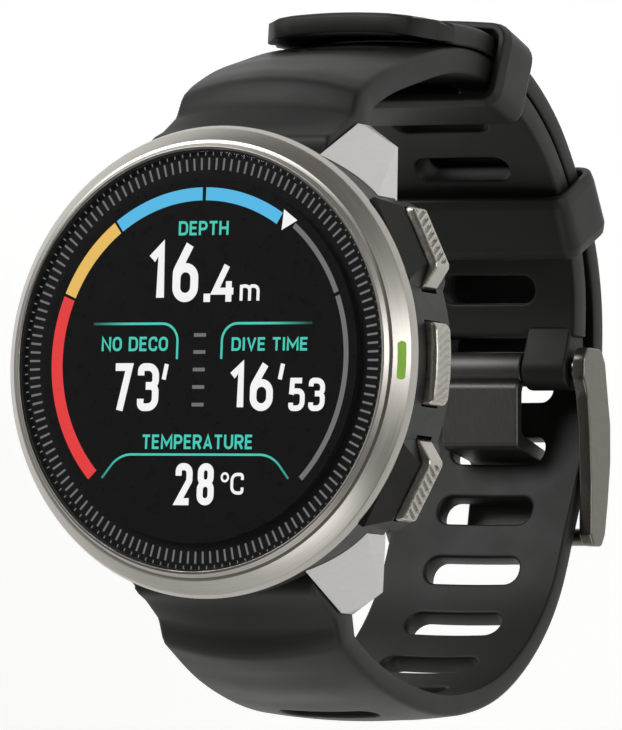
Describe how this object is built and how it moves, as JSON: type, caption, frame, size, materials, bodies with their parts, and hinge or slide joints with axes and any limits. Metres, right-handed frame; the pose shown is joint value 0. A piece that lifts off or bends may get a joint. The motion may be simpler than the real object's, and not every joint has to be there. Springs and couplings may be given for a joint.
{
  "type": "dive computer",
  "caption": "Round wrist-worn dive computer with a steel bezel, a flat crystal over a dark display, side buttons and a slotted rubber strap closed by a pin buckle.",
  "frame": {"origin": "middle of the crystal's outer face", "axes": "+Z out of the crystal's face, +Y towards 12 o'clock, +X towards 3 o'clock, where the buttons are"},
  "size_m": [0.0504, 0.0756, 0.0681],
  "materials": {
    "brushed_steel": "brushed",
    "bead_blasted_steel": "satin",
    "dark_steel": "satin",
    "spring_steel": "polished",
    "glass": "polished",
    "case_polymer": "satin",
    "lime_plastic": "satin",
    "display_black": "gloss",
    "tick_black": "satin",
    "keeper_polymer": "satin",
    "strap_rubber": "satin",
    "seal_rubber": "satin",
    "white_polymer": "satin",
    "board_green": "satin",
    "battery_wrap": "satin",
    "brass": "satin",
    "gold": "polished",
    "dark_window": "gloss"
  },
  "bodies": {
    "watch": {"antenna_ring": "white_polymer", "bar_end_pins": "spring_steel", "bar_spring_12": "spring_steel", "bar_spring_6": "spring_steel", "battery": "battery_wrap", "bezel_marker": "lime_plastic", "bezel_ring": "brushed_steel", "buckle_pin": "spring_steel", "button_bushings": "brass", "button_seals": "seal_rubber", "case_back": "case_polymer", "case_back_gasket": "seal_rubber", "case_back_screws": "spring_steel", "case_body": "case_polymer", "charging_contacts": "gold", "crystal": "glass", "crystal_gasket": "seal_rubber", "display_module": "display_black", "inner_frame": "white_polymer", "long_strap": "strap_rubber", "lug_12_left": "bead_blasted_steel", "lug_12_right": "bead_blasted_steel", "lug_6_left": "bead_blasted_steel", "lug_6_right": "bead_blasted_steel", "main_board": "board_green", "optical_sensor": "dark_window", "pressure_sensor": "spring_steel", "sensor_window": "dark_window", "short_strap": "strap_rubber", "spring_bar_12": "spring_steel", "spring_bar_6": "spring_steel", "spring_bottom": "spring_steel", "spring_middle": "spring_steel", "spring_top": "spring_steel", "tick_ring": "tick_black", "vibration_motor": "spring_steel"},
    "top_button": {"button_top": "bead_blasted_steel"},
    "middle_button": {"button_middle": "bead_blasted_steel"},
    "bottom_button": {"button_bottom": "bead_blasted_steel"},
    "bar_release_12": {"release_pin_12": "spring_steel"},
    "bar_release_6": {"release_pin_6": "spring_steel"},
    "buckle": {"buckle_frame": "dark_steel"},
    "tang": {"buckle_tang": "dark_steel"},
    "upper_keeper": {"keeper_free": "keeper_polymer"},
    "lower_keeper": {"keeper_locked": "keeper_polymer"}
  },
  "joints": [
    {"name": "top_button_push", "type": "slide", "parent": "watch", "child": "top_button", "axis": [-0.887, -0.4617, 0], "range_m": [0, 0.0006], "stiffness_N_per_m": 1500, "deforming": ["spring_top"]},
    {"name": "middle_button_push", "type": "slide", "parent": "watch", "child": "middle_button", "axis": [-1, 0, 0], "range_m": [0, 0.0006], "stiffness_N_per_m": 1500, "deforming": ["spring_middle"]},
    {"name": "bottom_button_push", "type": "slide", "parent": "watch", "child": "bottom_button", "axis": [-0.887, 0.4617, 0], "range_m": [0, 0.0006], "stiffness_N_per_m": 1500, "deforming": ["spring_bottom"]},
    {"name": "bar_release_12_slide", "type": "slide", "parent": "watch", "child": "bar_release_12", "axis": [-1, 0, 0], "range_m": [0, 0.0012], "stiffness_N_per_m": 300, "deforming": ["bar_spring_12"]},
    {"name": "bar_release_6_slide", "type": "slide", "parent": "watch", "child": "bar_release_6", "axis": [-1, 0, 0], "range_m": [0, 0.0012], "stiffness_N_per_m": 300, "deforming": ["bar_spring_6"]},
    {"name": "buckle_swing", "type": "hinge", "parent": "watch", "child": "buckle", "pos_m": [0, 0.0034, -0.0616], "axis": [1, 0, 0], "range_deg": [0, 3]},
    {"name": "tang_swing", "type": "hinge", "parent": "buckle", "child": "tang", "pos_m": [0, 0.0034, -0.0616], "axis": [1, 0, 0], "range_deg": [0, 3]},
    {"name": "upper_keeper_slide", "type": "slide", "parent": "watch", "child": "upper_keeper", "axis": [0, -0.3, -0.9539], "range_m": [-0.0015, 0.0015]},
    {"name": "lower_keeper_slide", "type": "slide", "parent": "watch", "child": "lower_keeper", "axis": [0, -0.88, -0.475], "range_m": [-0.0015, 0.0015]}
  ]
}
